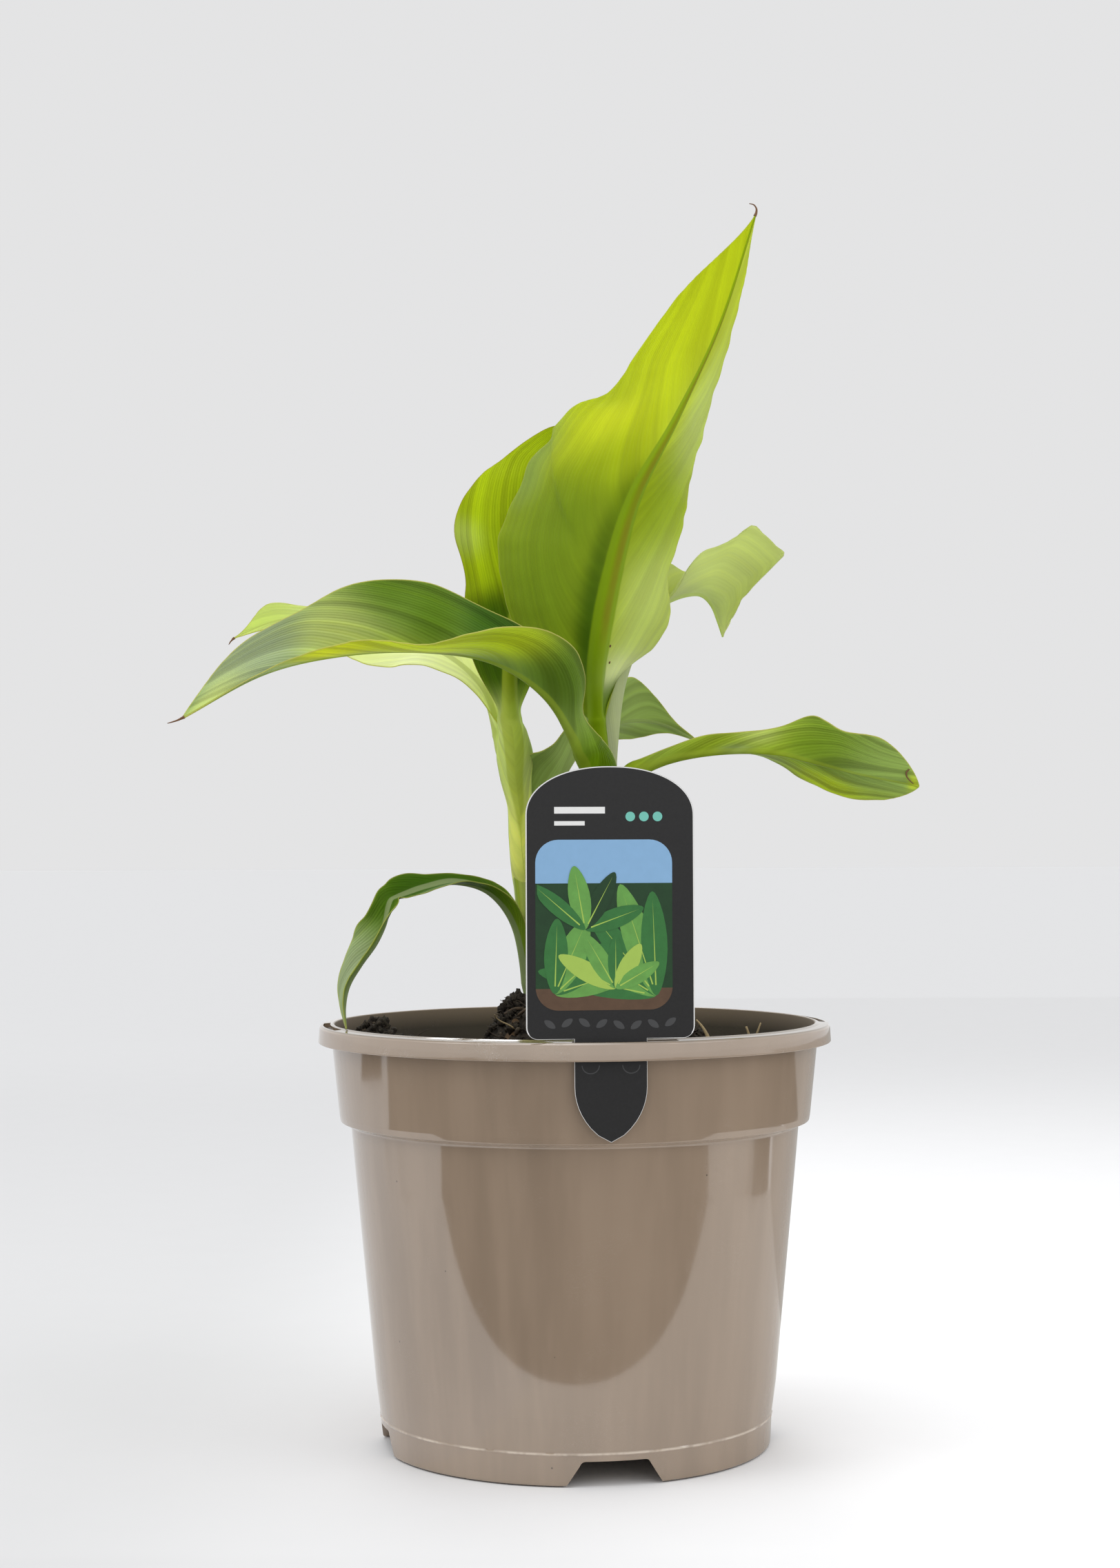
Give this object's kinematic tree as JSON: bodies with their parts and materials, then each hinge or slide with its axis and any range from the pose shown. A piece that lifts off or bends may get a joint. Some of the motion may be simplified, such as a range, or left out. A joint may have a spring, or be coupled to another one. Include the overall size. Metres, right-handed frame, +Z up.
{
  "type": "potted banana plant",
  "caption": "Young banana plant with two stems from one root and arching leaves, in a round plastic nursery pot of compost with a blank card label.",
  "frame": {"origin": "middle of the whole plant's box, on the surface that the pot stands on", "axes": "+Z up, -Y to the front of the pot where the label stands"},
  "size_m": [0.3006, 0.22, 0.5183],
  "materials": {
    "pot_plastic": "semi-gloss moulded taupe plastic with scuffs",
    "compost": "dark crumbly compost, rough",
    "label_card": "thin black card with a pale cut edge",
    "stem": "smooth fresh stem, satin",
    "leaf": "thin ribbed leaf, satin and translucent"
  },
  "bodies": {
    "root": {"pot": "pot_plastic", "compost": "compost", "plant_label": "label_card", "pseudostem_main": "stem", "pseudostem_side": "stem", "petiole_tall": "stem", "blade_tall": "leaf", "petiole_side_upright": "stem", "blade_side_upright": "leaf", "petiole_left": "stem", "blade_left": "leaf", "petiole_back_left": "stem", "blade_back_left": "leaf", "petiole_back_right": "stem", "blade_back_right": "leaf", "petiole_right": "stem", "blade_right": "leaf", "petiole_cross": "stem", "blade_cross": "leaf", "petiole_droop": "stem", "blade_droop_arch": "leaf", "blade_droop_tip": "leaf"}
  },
  "joints": []
}
